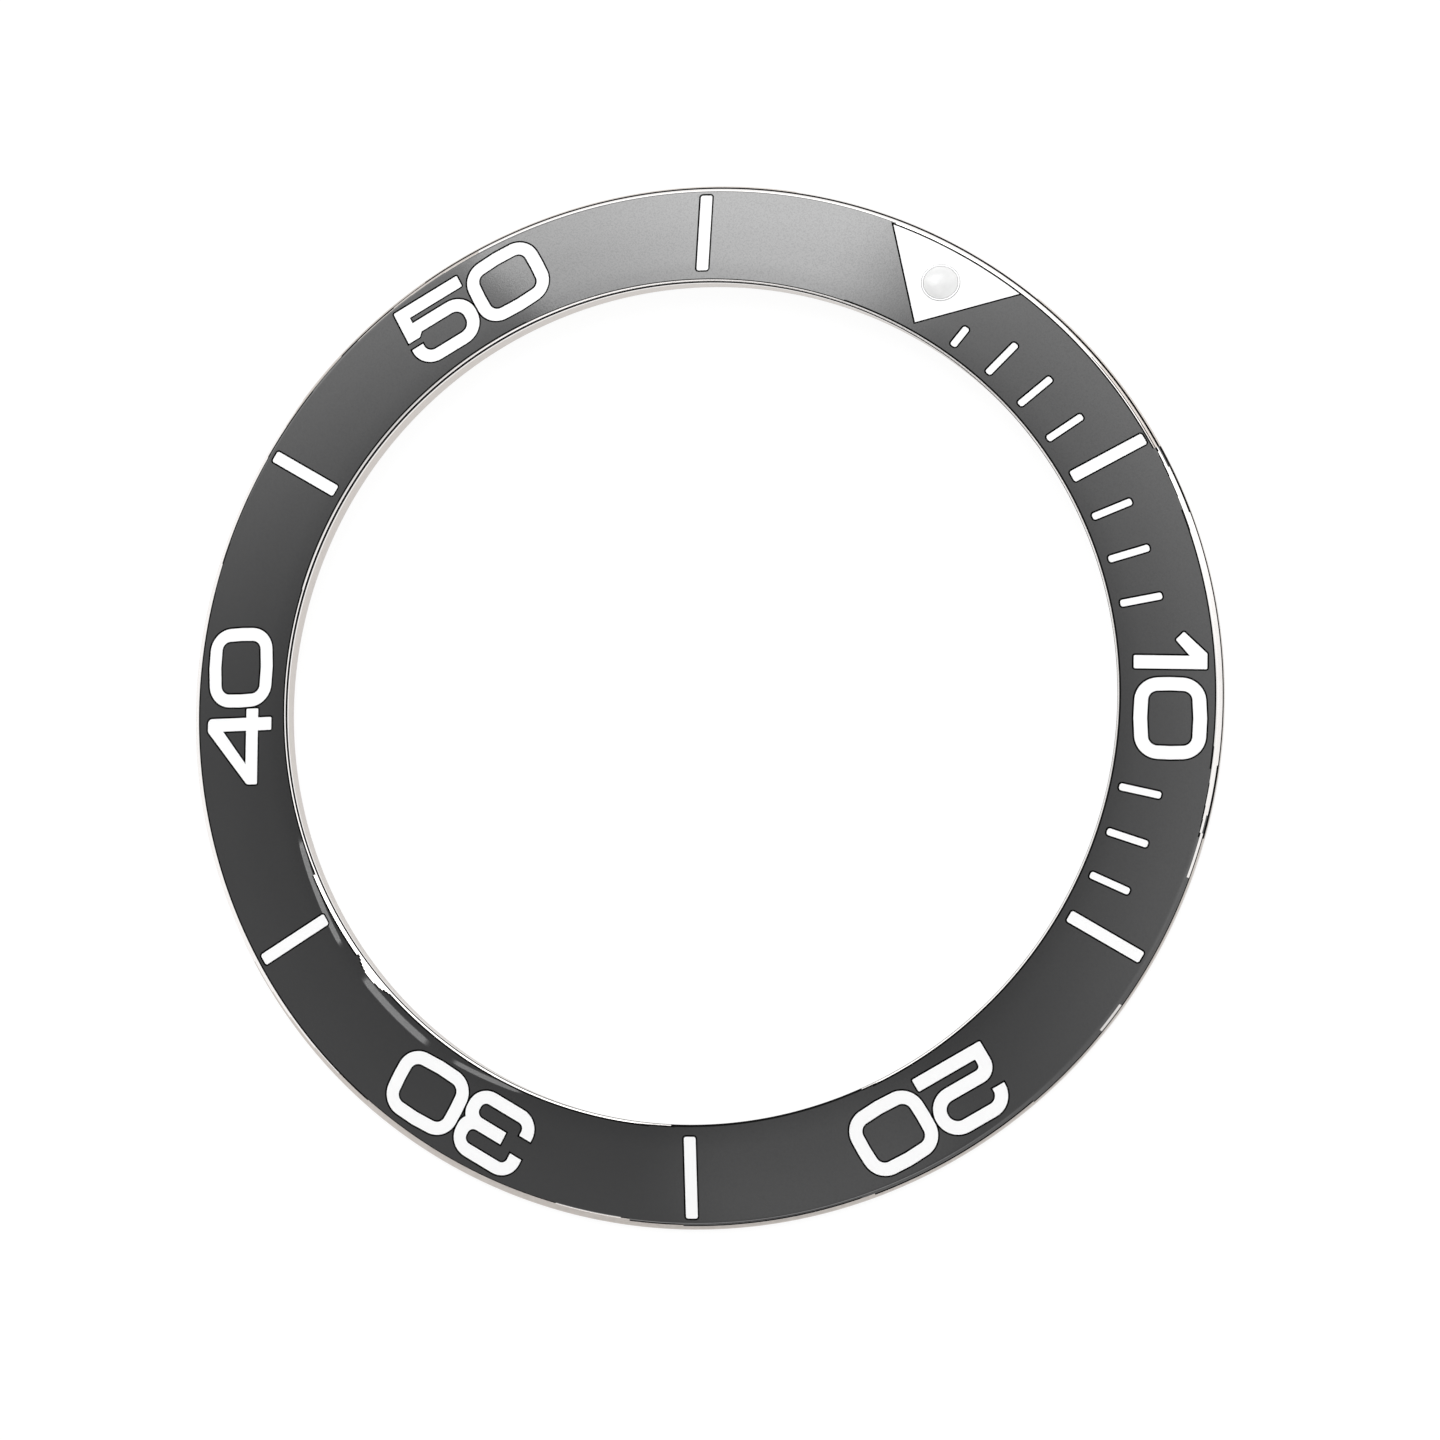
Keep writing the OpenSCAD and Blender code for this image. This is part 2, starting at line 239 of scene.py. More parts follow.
def box(x0, y0, x1, y1, radius, grow=0.0):
    """A box with one radius at its four corners."""
    return rounded([(x0, y0, radius), (x1, y0, radius), (x1, y1, radius), (x0, y1, radius)], grow)


# %% [markdown]
# These are the driving sizes of the insert. The overall ones are read back from the packed
# model, so that the two can't drift apart. The others are those that the model was drawn with:
# how wide the band, the bevel and the chamfer are, how steep the face is, how deep its recesses
# go, how far a filling is sunk, and how thick the bond under it is.

# %% Sizes of the ring
low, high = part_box("bezel_ring")
OUTER_R = (high[1] - low[1]) / 2 / MM
FACE_TOP = high[2] / MM
BAND_W = 3.7
BORE_R = OUTER_R - BAND_W
WALL_H = 0.2
BEVEL_W = 0.21
CHAMFER_W = 0.07
SLOPE = math.radians(11.8)
FACE_IN_R = BORE_R + CHAMFER_W
FACE_OUT_R = OUTER_R - BEVEL_W
RECESS_DEPTH = 0.18
FILL_SINK = 0.02
BOND_GAP = 0.01
MARK_IN_R = FACE_IN_R + 0.36


def face_z(r):
    """Height of the face at a distance from the axis."""
    return FACE_TOP - (r - FACE_IN_R) * math.tan(SLOPE)


print("ring: outside %.2f, bore %.2f, height %.2f mm" % (2 * OUTER_R, 2 * BORE_R, FACE_TOP))

# %% [markdown]
# The digits stand on y = 0 with their left edge at x = 0. Each function gives a list of closed
# paths, the outside and the holes. The zero is special, because its four sides swell faintly: its
# outline is made of four long arcs and four corner arcs that touch, and only half of it is
# worked out, because the other half is the same turned round.

# %% Draw the zero
STROKE = 0.475
NUMERAL_IN_R = FACE_IN_R + 0.5
NUMERAL_OUT_R = FACE_OUT_R - 0.36
HEIGHT = NUMERAL_OUT_R - NUMERAL_IN_R
ZERO_W = 2.94
CURVE = 0.85
COUNTER = 0.34
SWELL = 7


def swelled(width, height, radius, swell):
    """A box about its centre whose sides are faint arcs of radius swell."""
    a = swell - width / 2
    b = swell - height / 2
    reach = swell - radius
    ratio = a / b
    lift = (a * a - b * b) / (2 * b)
    half = (a + ratio * lift) / (1 + ratio * ratio)
    rest = (a * a + lift * lift - reach * reach) / (1 + ratio * ratio)
    cx = math.sqrt(half * half - rest) - half
    cy = ratio * cx + lift
    side = math.atan2(cy, cx + a)
    end = math.atan2(cy + b, cx)
    upper = arc((-a, 0), swell, -side, 2 * side)
    upper += arc((cx, cy), radius, side, end - side)[1:]
    upper += arc((0, -b), swell, end, math.pi - 2 * end)[1:]
    upper += arc((-cx, cy), radius, math.pi - end, end - side)[1:-1]
    return upper + [(-x, -y) for x, y in upper]


def zero(grow):
    outside = swelled(ZERO_W + 2 * grow, HEIGHT + 2 * grow, CURVE + grow, SWELL + grow)
    thick = 2 * STROKE + 2 * grow
    inside = swelled(ZERO_W - thick, HEIGHT - thick, COUNTER - grow, SWELL - grow)
    return [[(x + ZERO_W / 2, y + HEIGHT / 2) for x, y in path] for path in (outside, inside)]


print("digits are %.2f mm high with a stroke of %.3f mm" % (HEIGHT, STROKE))

# %% [markdown]
# The one's slanted flag runs into its stem. The two and the three turn with large radii outside
# and smaller ones inside, the heel, the bowl, the counter and the slot, which keeps the stroke
# even. The three's two bowls meet in a notch at the waist. Square ends are only broken.

# %% Draw the one, the two and the three
DIGIT_W = 2.79
THREE_W = 2.7
ONE_W = 1.34
HEEL = 0.62
BOWL = 0.38
SLOT = 0.24
BREAK = 0.05


def one(grow):
    left = ONE_W - STROKE
    shoulder = 0.58 * ONE_W
    tip = 0.68 * HEIGHT
    heel = Vector((0.22 * ONE_W, 0.57 * HEIGHT))
    crotch = Vector((ONE_W - STROKE / 2, 0.84 * HEIGHT))
    meet = heel.lerp(crotch, (left - heel.x) / (crotch.x - heel.x))
    return [rounded([
        (left, 0, BREAK), (ONE_W, 0, BREAK), (ONE_W, HEIGHT, BREAK), (shoulder, HEIGHT, BREAK),
        (0, tip, BREAK), (heel.x, heel.y, BREAK), (left, meet.y, 0),
    ], grow)]


def two(grow):
    low = 0.42 * HEIGHT - STROKE / 2
    high = low + STROKE
    hook = 0.65 * HEIGHT
    return [rounded([
        (0, 0, BREAK), (DIGIT_W, 0, BREAK), (DIGIT_W, STROKE, BREAK),
        (STROKE, STROKE, BREAK), (STROKE, low, (low - STROKE) / 2),
        (DIGIT_W, low, CURVE), (DIGIT_W, HEIGHT, CURVE), (0, HEIGHT, CURVE),
        (0, hook, 0), (STROKE, hook, 0), (STROKE, HEIGHT - STROKE, COUNTER),
        (DIGIT_W - STROKE, HEIGHT - STROKE, BOWL), (DIGIT_W - STROKE, high, BOWL), (0, high, HEEL),
    ], grow)]


def three(grow):
    low = (HEIGHT - STROKE) / 2
    high = low + STROKE
    curve = high / 2
    middle_bar = 2 * STROKE
    hook_high = 0.63 * HEIGHT
    hook_low = 0.345 * HEIGHT
    right = THREE_W - STROKE
    # The two bowls' arcs cross at the waist, which leaves a notch in the right side
    rise = HEEL - STROKE / 2
    reach = HEEL + grow
    dip = math.asin(rise / reach)
    waist_x = THREE_W - HEEL
    lower = arc((waist_x, HEIGHT / 2 - rise), reach, 0, dip)
    upper = arc((waist_x, HEIGHT / 2 + rise), reach, -dip, dip)
    path = rounded([
        (0, 0, curve), (THREE_W, 0, curve), (THREE_W, HEIGHT / 2, 0), (THREE_W, HEIGHT, curve),
        (0, HEIGHT, curve), (0, hook_high, 0), (STROKE, hook_high, 0),
        (STROKE, HEIGHT - STROKE, SLOT), (right, HEIGHT - STROKE, SLOT), (right, high, SLOT),
        (middle_bar, high, 0), (middle_bar, low, 0), (right, low, SLOT), (right, STROKE, SLOT),
        (STROKE, STROKE, SLOT), (STROKE, hook_low, 0), (0, hook_low, 0),
    ], grow)
    waist = path.index(min(path, key=lambda p: math.dist(p, (THREE_W + grow, HEIGHT / 2))))
    return [path[:waist] + lower + upper[1:] + path[waist + 1:]]


print("points:", [len(draw(0)[0]) for draw in (one, two, three)])

# %% [markdown]
# The four has blunt outer corners and a sharp triangular hole. The five has a flag with square
# ends over one bowl, and the bowl's inner side starts with a slope.

# %% Draw the four and the five
BLUNT = 0.17


def four(grow):
    right = 0.88 * DIGIT_W
    left = right - STROKE
    low = 0.21 * HEIGHT
    high = low + STROKE
    brow = (0.71 * DIGIT_W, HEIGHT)
    elbow = (0, 0.37 * HEIGHT)
    outside = rounded([
        (left, 0, BREAK), (right, 0, BREAK), (right, low, 0), (DIGIT_W, low, BREAK),
        (DIGIT_W, high, BREAK), (right, high, 0), (right, HEIGHT, BLUNT), (*brow, BLUNT),
        (*elbow, BLUNT), (0, low, BREAK), (left, low, 0),
    ], grow)
    hole = rounded([(0.27 * DIGIT_W, high, 0), (left, high, 0), (left, 0.76 * HEIGHT, 0)], -grow)
    return [outside, hole]


def five(grow):
    flag = HEIGHT - STROKE
    bowl_high = flag - 0.095 * HEIGHT
    low = bowl_high - STROKE
    foot = 0.47 * HEIGHT
    hook = 0.355 * HEIGHT
    right = DIGIT_W - STROKE
    tip = DIGIT_W - BREAK
    return [rounded([
        (0, 0, CURVE), (DIGIT_W, 0, CURVE), (DIGIT_W, bowl_high, CURVE),
        (STROKE, bowl_high, 0), (STROKE, flag, 0), (tip, flag, BREAK), (tip, HEIGHT, BREAK),
        (0, HEIGHT, BREAK), (0, foot, 0), (STROKE, foot, 0), (STROKE + low - foot, low, 0),
        (right, low, BOWL), (right, STROKE, BOWL), (STROKE, STROKE, COUNTER),
        (STROKE, hook, 0), (0, hook, 0),
    ], grow)]


print("points:", [len(draw(0)[0]) for draw in (four, five)])

# %% [markdown]
# Next the outlines are set round the ring. The zero mark is at the top and the minutes run
# clockwise, so a mark for minute m is turned by minus 6 m degrees. The name of a node in the
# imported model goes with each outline, because the finished filling replaces it.

# %% Set the outlines round the ring
BARS = [5, 15, 25, 35, 45, 55]
BAR_W = 0.43
BAR_OUT_R = FACE_OUT_R - 0.17
BAR_CORNER = 0.08
TICKS = [1, 2, 3, 4, 6, 7, 8, 12, 13, 14]
TICK_W = 0.25
TICK_L = 1.48
FIRST_TICK_L = 0.84
TICK_CORNER = 0.09
TRIANGLE_HALF = math.radians(44)
TRIANGLE_OUT_R = FACE_OUT_R - 0.1
TRIANGLE_STEPS = 40
ONE_GAP = 0.3
DIGIT_GAP = 0.06


def at_minute(paths, minute, dx=0.0, dy=0.0):
    """Paths moved by dx and dy at the zero mark, then turned to their minute."""
    angle = math.radians(-6 * minute)
    cos, sin = math.cos(angle), math.sin(angle)
    return [
        [((x + dx) * cos - (y + dy) * sin, (x + dx) * sin + (y + dy) * cos) for x, y in path]
        for path in paths
    ]


def bar(minute, grow):
    path = box(-BAR_W / 2, MARK_IN_R, BAR_W / 2, BAR_OUT_R, BAR_CORNER, grow)
    return at_minute([path], minute)


def tick(minute, grow):
    end = MARK_IN_R + (FIRST_TICK_L if minute == 1 else TICK_L)
    path = box(-TICK_W / 2, MARK_IN_R, TICK_W / 2, end, TICK_CORNER, grow)
    return at_minute([path], minute)


# Each tens digit has a name, a drawing, a width and a gap to its zero
TENS = {
    1: ("one", one, ONE_W, ONE_GAP),
    2: ("two", two, DIGIT_W, DIGIT_GAP),
    3: ("three", three, THREE_W, DIGIT_GAP),
    4: ("four", four, DIGIT_W, DIGIT_GAP),
    5: ("five", five, DIGIT_W, DIGIT_GAP),
}


def tens_digit(tens, grow):
    _, draw, width, gap = TENS[tens]
    return at_minute(draw(grow), 10 * tens, -(width + gap + ZERO_W) / 2, NUMERAL_IN_R)


def zero_digit(tens, grow):
    _, _, width, gap = TENS[tens]
    return at_minute(zero(grow), 10 * tens, (width + gap - ZERO_W) / 2, NUMERAL_IN_R)


def triangle(grow):
    """The triangle points at the bore, and its outer side is an arc along the face's edge."""
    cos, sin = math.cos(TRIANGLE_HALF), math.sin(TRIANGLE_HALF)
    apex = MARK_IN_R - grow / sin
    reach = TRIANGLE_OUT_R + grow
    run = math.sqrt((apex * cos) ** 2 - apex ** 2 + reach ** 2) - apex * cos
    start = math.atan2(apex + run * cos, run * sin)
    steps = range(TRIANGLE_STEPS + 1)
    rim = [start + (math.pi - 2 * start) * i / TRIANGLE_STEPS for i in steps]
    return [[(0, apex)] + [(reach * math.cos(a), reach * math.sin(a)) for a in rim]]


def marks(grow):
    """The outlines of every filling but the zeros, by node name."""
    drawn = {"zero_triangle": triangle(grow)}
    drawn.update({"bar_%02d" % m: bar(m, grow) for m in BARS})
    drawn.update({"tick_%02d" % m: tick(m, grow) for m in TICKS})
    drawn.update({"numeral_%d0_%s" % (t, TENS[t][0]): tens_digit(t, grow) for t in TENS})
    return drawn


def zeros(grow):
    return {"numeral_%d0_zero" % tens: zero_digit(tens, grow) for tens in TENS}


print("outlines:", len(marks(0)) + len(zeros(0)))

# %% [markdown]
# A geometry tree takes its drawings as curve objects. The first helper makes such a template,
# which is deleted once the tree has run. The second runs a tree and keeps its result as a plain
# mesh, and the third starts a tree.

# %% Curves for the trees, the mesh a tree makes, and a new tree
def curve_of(name, paths, closed=True):
    data = bpy.data.curves.new(name, "CURVE")
    data.dimensions = "3D"
    for path in paths:
        spline = data.splines.new("POLY")
        spline.points.add(len(path) - 1)
        spline.points.foreach_set("co", [v for x, y in path for v in (x, y, 0, 1)])
        spline.use_cyclic_u = closed
    return in_scene(name, data)


def made_by(net, name, values):
    """The plain mesh that a geometry tree makes with these values, as a new object."""
    host = in_scene("host", bpy.data.meshes.new("host"))
    modifier = host.modifiers.new("tree", "NODES")
    modifier.node_group = net.tree
    for item in net.tree.interface.items_tree:
        if item.in_out == "INPUT" and item.name in values:
            modifier[item.identifier] = values[item.name]
    seen = host.evaluated_get(bpy.context.evaluated_depsgraph_get())
    mesh = bpy.data.meshes.new_from_object(seen)
    bpy.data.objects.remove(host)
    used = [m for m in mesh.materials if m]
    slots = [used.index(mesh.materials[p.material_index]) for p in mesh.polygons]
    mesh.materials.clear()
    for material in used:
        mesh.materials.append(material)
    mesh.polygons.foreach_set("material_index", slots)
    mesh.name = name
    return in_scene(name, mesh)


def new_tree(name, labels_by_kind):
    """A geometry tree with inputs of several kinds, and a dictionary of them by label."""
    tree = bpy.data.node_groups.new(name, "GeometryNodeTree")
    net = Net(tree)
    tree.interface.new_socket("Geometry", in_out="INPUT", socket_type="NodeSocketGeometry")
    tree.interface.new_socket("Geometry", in_out="OUTPUT", socket_type="NodeSocketGeometry")
    for kind, labels in labels_by_kind.items():
        for label in labels:
            tree.interface.new_socket(label, in_out="INPUT", socket_type="NodeSocket" + kind)
    entry = net.node("NodeGroupInput")
    every_label = sum(labels_by_kind.values(), [])
    return net, {label: entry.named(label) for label in every_label}


# %% [markdown]
# A few moves make every solid here. A lathe sweeps a profile round a circle, as the real ring is
# turned. A prism fills an outline and raises it. A boolean combines them, paint gives a material
# to the faces of a selection, and a finish marks the sharp edges and scales to metres.

# %% Lathe, prism, boolean, paint and finish
GUIDE_R = 1.0
WELD = 1e-4
SHARP_EDGE = math.radians(24)


def drawing(net, template):
    return net.node("GeometryNodeObjectInfo", inputs=[template]).named("Geometry")


def lathe(net, profile, segments):
    """A profile of (distance from the guide circle, minus height) swept round the axis."""
    circle = net.node("GeometryNodeCurvePrimitiveCircle", {"mode": "RADIUS"},
                      {"Resolution": segments, "Radius": GUIDE_R})
    level = net.node("GeometryNodeSetCurveNormal", {"mode": "Z_UP"}, [circle])
    swept = net.node("GeometryNodeCurveToMesh", inputs=[level, profile])
    outward = net.node("GeometryNodeFlipFaces", inputs=[swept])
    return net.node("GeometryNodeMergeByDistance", inputs={"Geometry": outward, "Distance": WELD})


def prism(net, outline, height):
    """A solid of an outline, from z = 0 up to height."""
    filled = net.node("GeometryNodeFillCurve", {"mode": "NGONS"}, [outline])
    raised = net.node("GeometryNodeExtrudeMesh", {"mode": "FACES"},
                      {"Mesh": filled, "Offset Scale": height, "Individual": False})
    under = net.node("GeometryNodeFlipFaces", inputs=[filled])
    joined = net.node("GeometryNodeJoinGeometry", inputs=[[under, raised]])
    return net.node("GeometryNodeMergeByDistance", inputs={"Geometry": joined, "Distance": WELD})


def combine(net, operation, *meshes):
    """A boolean of meshes. The manifold solver is exact enough here, and quick."""
    settings = {"operation": operation, "solver": "MANIFOLD"}
    if operation == "DIFFERENCE":
        return net.node("GeometryNodeMeshBoolean", settings, [meshes[0], list(meshes[1:])])
    return net.node("GeometryNodeMeshBoolean", settings, {"Mesh 2": list(meshes)})


def paint(net, mesh, selection, material):
    return net.node("GeometryNodeSetMaterial", inputs={
        "Geometry": mesh, "Selection": selection, "Material": material,
    })


def finish(net, mesh):
    """Sharp edges, one scale to metres, real meshes, and the tree's output."""
    smooth = net.node("GeometryNodeSetShadeSmooth", {"domain": "FACE"}, [mesh])
    angle = net.node("GeometryNodeInputMeshEdgeAngle")
    marked = net.node("GeometryNodeSetShadeSmooth", {"domain": "EDGE"},
                      {"Geometry": smooth, "Selection": angle > SHARP_EDGE, "Shade Smooth": False})
    scaled = net.node("GeometryNodeTransform", inputs={"Geometry": marked, "Scale": (MM, MM, MM)})
    real = net.node("GeometryNodeRealizeInstances", inputs=[scaled])
    net.node("NodeGroupOutput", inputs=[real])


def profile_of(name, points, closed=True):
    """A lathe profile from (radius, height) points that run counter-clockwise."""
    return curve_of(name, [[(r - GUIDE_R, -z) for r, z in points]], closed)


# %% [markdown]
# Materials come before the meshes, because a tree sets them by face. What varies over a surface
# is driven by noise in the object's own coordinates, so that the grain has its real scale.

# %% Helpers for materials
def new_material(name, build):
    """A material whose Principled inputs are set from the dictionary that build returns."""
    material = bpy.data.materials.new(name)
    material.use_nodes = True
    net = Net(material.node_tree)
    shader = material.node_tree.nodes["Principled BSDF"]
    place = net.node("ShaderNodeTexCoord", output="Object")
    for key, value in build(net, place).items():
        if isinstance(value, Socket):
            material.node_tree.links.new(value.output, shader.inputs[key])
        else:
            shader.inputs[key].default_value = value
    print("material", name, "with", len(material.node_tree.nodes), "nodes")
    return material


def noise(net, place, grain, detail=2.0):
    """Noise with a grain size in millimetres, about 0.5 on average."""
    return net.node("ShaderNodeTexNoise", inputs={
        "Vector": place, "Scale": 1 / (grain * MM), "Detail": detail,
    }, output="Fac")


def relief(net, height, depth, under=None):
    """A normal from a height pattern with a depth in millimetres, over another normal."""
    inputs = {"Strength": 1.0, "Distance": depth * MM, "Height": height}
    if under:
        inputs["Normal"] = under
    return net.node("ShaderNodeBump", inputs=inputs)


def place_in_mm(net, place):
    """Distance from the ring's axis, angle and height, in millimetres and degrees."""
    distance, angle, height = net.around_axis(place)
    return distance / MM, angle, height / MM


TOWARDS_ZERO = (0.01, 0.325, 0.946)


def leaning(net, normal, amount):
    """A normal that gives way, by amount, to one that leans towards the zero mark."""
    mixed = net.node("ShaderNodeMix", {"data_type": "VECTOR"},
                     {0: amount, 4: normal, 5: TOWARDS_ZERO}, 1)
    return net.node("ShaderNodeVectorMath", {"operation": "NORMALIZE"}, [mixed])


# %% [markdown]
# The face is black anodised aluminium that was polished and sealed with a clear, glossy layer.
# Close up it shows a fine speckle, and its gloss is a little soft. Polishing leaves it faintly
# crowned, by two degrees at either rim, which is too slight for the mesh and bends the normal. A
# dark base with a high refractive index gives the reflections their strength, and a little
# Metallic takes gloss away again towards the inner rim, where the clear layer is thin; this is
# also a painted shade that darkens the inner part of the face. In three places near minutes 30
# to 36 the inner rim has been pressed over, and catches the light in three pale streaks.

# %% Black anodised face
CROWN = 0.03
# From one distance to another, with how much Metallic dims the reflections at either, as painted
# shade
DIMMED_AT_RIM = (15.4, 16.4, 0.13, 0.0)
DIMMED_ACROSS = (16.2, 18.6, 0.105, 0.0)
# Start and end in degrees, distance of the middle from the axis, its drift, and half the width
PRESSED = [
    (173.5, 184, 15.56, 0.026, 0.13),
    (188, 200.5, 15.75, 0.0, 0.19),
    (206, 221, 15.6, -0.018, 0.14),
]
FADE = 1.5


def pressed_over(net, distance, angle):
    """Where the inner rim leans the other way, from 0 to 1."""
    total = 0
    for start, end, middle, drift, half in PRESSED:
        centre = middle + drift * (angle - (start + end) / 2)
        along = net.hill(angle, start - FADE, start + FADE, end - FADE, end + FADE)
        total = total + along * net.ramp((distance - centre).math("ABSOLUTE"), half, 0.4 * half)
    return total


def black_face(net, place):
    speckle = net.ramp(noise(net, place, 0.06, 3.0), 0.42, 0.68)
    cloud = noise(net, place, 2.5)
    grain = noise(net, place, 0.05, 2.0)
    distance, angle, _ = place_in_mm(net, place)
    across = (distance - (FACE_IN_R + FACE_OUT_R) / 2) / ((FACE_OUT_R - FACE_IN_R) / 2)
    crowned = relief(net, 1 - across * across, CROWN)
    # More Metallic towards the inner rim dims the reflections there, a painted shade
    dimmed_reflection = net.ramp(distance, *DIMMED_AT_RIM) + net.ramp(distance, *DIMMED_ACROSS)
    pressed = pressed_over(net, distance, angle)
    uneven = speckle * 0.6 + cloud * 0.4
    return {
        "Base Color": net.blend(uneven, (0.012, 0.012, 0.0125), (0.019, 0.0192, 0.02)),
        "Metallic": dimmed_reflection + 0.14 * speckle,
        "Roughness": 0.07 + 0.03 * speckle + 0.01 * cloud + 0.2 * pressed,
        "IOR": 2.06,
        "Normal": leaning(net, relief(net, grain, 0.0006, crowned), pressed),
    }


face_black = new_material("black_anodised_face", black_face)

# %% [markdown]
# After anodising, the edges are cut bright on a lathe, which leaves bare metal with fine rings
# round the axis. The rings are a sine wave, disturbed by noise, that moves the normal slightly,
# as tool marks do. Where bright metal is painted over the inner rim as a glint, it leans with the
# pressed-over face beside it. The bore is turned metal as well, but nobody sees it on a watch, so
# it is left duller and warmer; its darker, warmer tone is partly a painted shade of the floor
# that the bore mirrors. The same dull metal is painted on parts of the bevel as painted shade.

# %% Bright-cut aluminium edges
EDGE_WAVE = 420
BORE_WAVE = 260
GLINT_FROM_R = 15.385
GLINT_TO_R = 16


def bright_edge(net, place):
    distance, _, height = place_in_mm(net, place)
    wander = noise(net, place, 1.5)
    rings = ((distance + height) * EDGE_WAVE + wander * 6).math("SINE") * 0.5 + 0.5
    haze = noise(net, place, 0.3, 3.0)
    # Bright metal painted over the inner rim as a glint leans towards the zero mark
    glint_lean = between(distance, GLINT_FROM_R, GLINT_TO_R)
    return {
        "Base Color": net.blend(haze, (0.86, 0.83, 0.81), (0.94, 0.92, 0.905)),
        "Metallic": 1.0,
        "Roughness": 0.14 + 0.08 * haze,
        "Normal": leaning(net, relief(net, rings, 0.00025), glint_lean),
    }


def dull_metal_and_shade(net, place):
    _, _, height = place_in_mm(net, place)
    rings = (height * BORE_WAVE + noise(net, place, 0.8) * 5).math("SINE") * 0.5 + 0.5
    haze = noise(net, place, 0.25, 3.0)
    return {
        # A darker, warmer base, partly a painted shade of the floor that the metal mirrors
        "Base Color": net.blend(haze, (0.53, 0.488, 0.455), (0.66, 0.615, 0.578)),
        "Metallic": 1.0,
        "Roughness": 0.24 + 0.12 * haze,
        "Normal": relief(net, rings, 0.0004),
    }


edge_metal = new_material("bright_cut_edge", bright_edge)
dull_shade_metal = new_material("dull_metal_painted_shade", dull_metal_and_shade)

# %% [markdown]
# The recesses were etched before anodising, so they stay matt, and so do the broken corners and
# the outer wall, which no polishing wheel reaches. The same matt black covers the sides and floor
# of each filling, a painted shade in the narrow groove round it, and thin lines on the bevel and
# in the bore, which are painted dark reflections. All look the same: a soft black without gloss,
# which draws the fine dark line round every white mark.

# %% Matt black
def matt_black(net, place):
    grit = noise(net, place, 0.03, 3.0)
    return {
        "Base Color": net.blend(grit, (0.001, 0.001, 0.001), (0.005, 0.005, 0.0052)),
        "Roughness": 0.75 + 0.2 * grit,
        "IOR": 1.15,
        "Normal": relief(net, grit, 0.002),
    }


matt_black_and_shade = new_material("matt_black_and_painted_shade", matt_black)

# %% [markdown]
# The fillings are a white enamel that is wiped into the recesses and baked. It is almost pure
# white with a satin surface. A faint mottle and a very fine grain keep it from looking printed.

# %% White enamel
def enamel(net, place):
    mottle = noise(net, place, 0.8, 3.0)
    grain = noise(net, place, 0.04, 2.0)
    return {
        "Base Color": net.blend(mottle, (0.94, 0.942, 0.943), (0.97, 0.97, 0.97)),
        "Roughness": 0.38 + 0.1 * grain,
        "IOR": 1.3,
        "Normal": relief(net, grain, 0.0008),
    }


white_enamel = new_material("white_enamel", enamel)

# %% [markdown]
# The pip is three pieces: a thin steel cup, the luminous compound in it, and a clear domed lens
# on top. The compound is a pale, slightly green powder in resin, so it has a coarser grain.

# %% Cup, luminous compound and lens
def cup_steel(net, place):
    brushed = noise(net, place, 0.08, 3.0)
    return {
        "Base Color": net.blend(brushed, (0.80, 0.80, 0.80), (0.85, 0.85, 0.855)),
        "Metallic": 1.0,
        "Roughness": 0.42 + 0.08 * brushed,
        "Normal": relief(net, brushed, 0.0002),
    }


def compound(net, place):
    powder = noise(net, place, 0.05, 3.0)
    cloud = noise(net, place, 0.4)
    uneven = powder * 0.5 + cloud * 0.5
    return {
        "Base Color": net.blend(uneven, (0.91, 0.92, 0.905), (0.96, 0.965, 0.955)),
        "Roughness": 0.7 + 0.15 * powder,
        "Normal": relief(net, powder, 0.001),
    }


def clear_lens(net, place):
    haze = noise(net, place, 0.3)
    return {
        "Base Color": net.blend(haze, (0.90, 0.902, 0.90), (0.95, 0.952, 0.95)),
        "Roughness": 0.04 + 0.03 * haze,
        "IOR": 1.65,
        "Alpha": 0.7 + 0.15 * haze,
    }


steel = new_material("cup_steel", cup_steel)
lume = new_material("luminous_compound", compound)
lens_clear = new_material("clear_lens", clear_lens)

# %% [markdown]
# The ring is one turned profile, from which the recesses are milled. The tree turns the profile,
# cuts a conical layer with the marks' outlines to get cutters whose floors follow the slope, and
# takes them and the pip's round pocket away. The zeros are cut apart from the other outlines,
# because the recesses of two neighbouring digits run into each other.

# %% The tree of the ring
POCKET_SIDES = 96
ring_net, ring_in = new_tree("turned_ring", {
    "Object": ["Profile", "Layer", "Marks", "Zeros"],
    "Int": ["Segments"],
    "Float": ["Cutter height", "Pocket radius", "Pocket depth",
              "Face top", "Face start", "Face fall", "Face end", "Chamfer from", "Chamfer to",
              "Black line", "Bore radius", "Bore height", "Mouth from"],
    "Vector": ["Pocket place"],
    "Rotation": ["Pocket lean"],
    "Material": ["Face material", "Matt black and shade", "Edge material", "Dull shade material"],
})


def tilted(net, mesh, place, lean):
    return net.node("GeometryNodeTransform", inputs={
        "Geometry": mesh, "Translation": place, "Rotation": lean,
    })


def pocket(net, sockets):
    """The pip's round pocket, square to the face."""
    drill = net.node("GeometryNodeMeshCylinder", inputs={
        "Vertices": POCKET_SIDES,
        "Radius": sockets["Pocket radius"], "Depth": sockets["Pocket depth"] * 2.0,
    })
    return tilted(net, drill, sockets["Pocket place"], sockets["Pocket lean"])


turned = lathe(ring_net, drawing(ring_net, ring_in["Profile"]), ring_in["Segments"])
layer = lathe(ring_net, drawing(ring_net, ring_in["Layer"]), ring_in["Segments"])
for outlines in ("Marks", "Zeros"):
    column = prism(ring_net, drawing(ring_net, ring_in[outlines]), ring_in["Cutter height"])
    turned = combine(ring_net, "DIFFERENCE", turned, combine(ring_net, "INTERSECT", column, layer))
turned = combine(ring_net, "DIFFERENCE", turned, pocket(ring_net, ring_in))
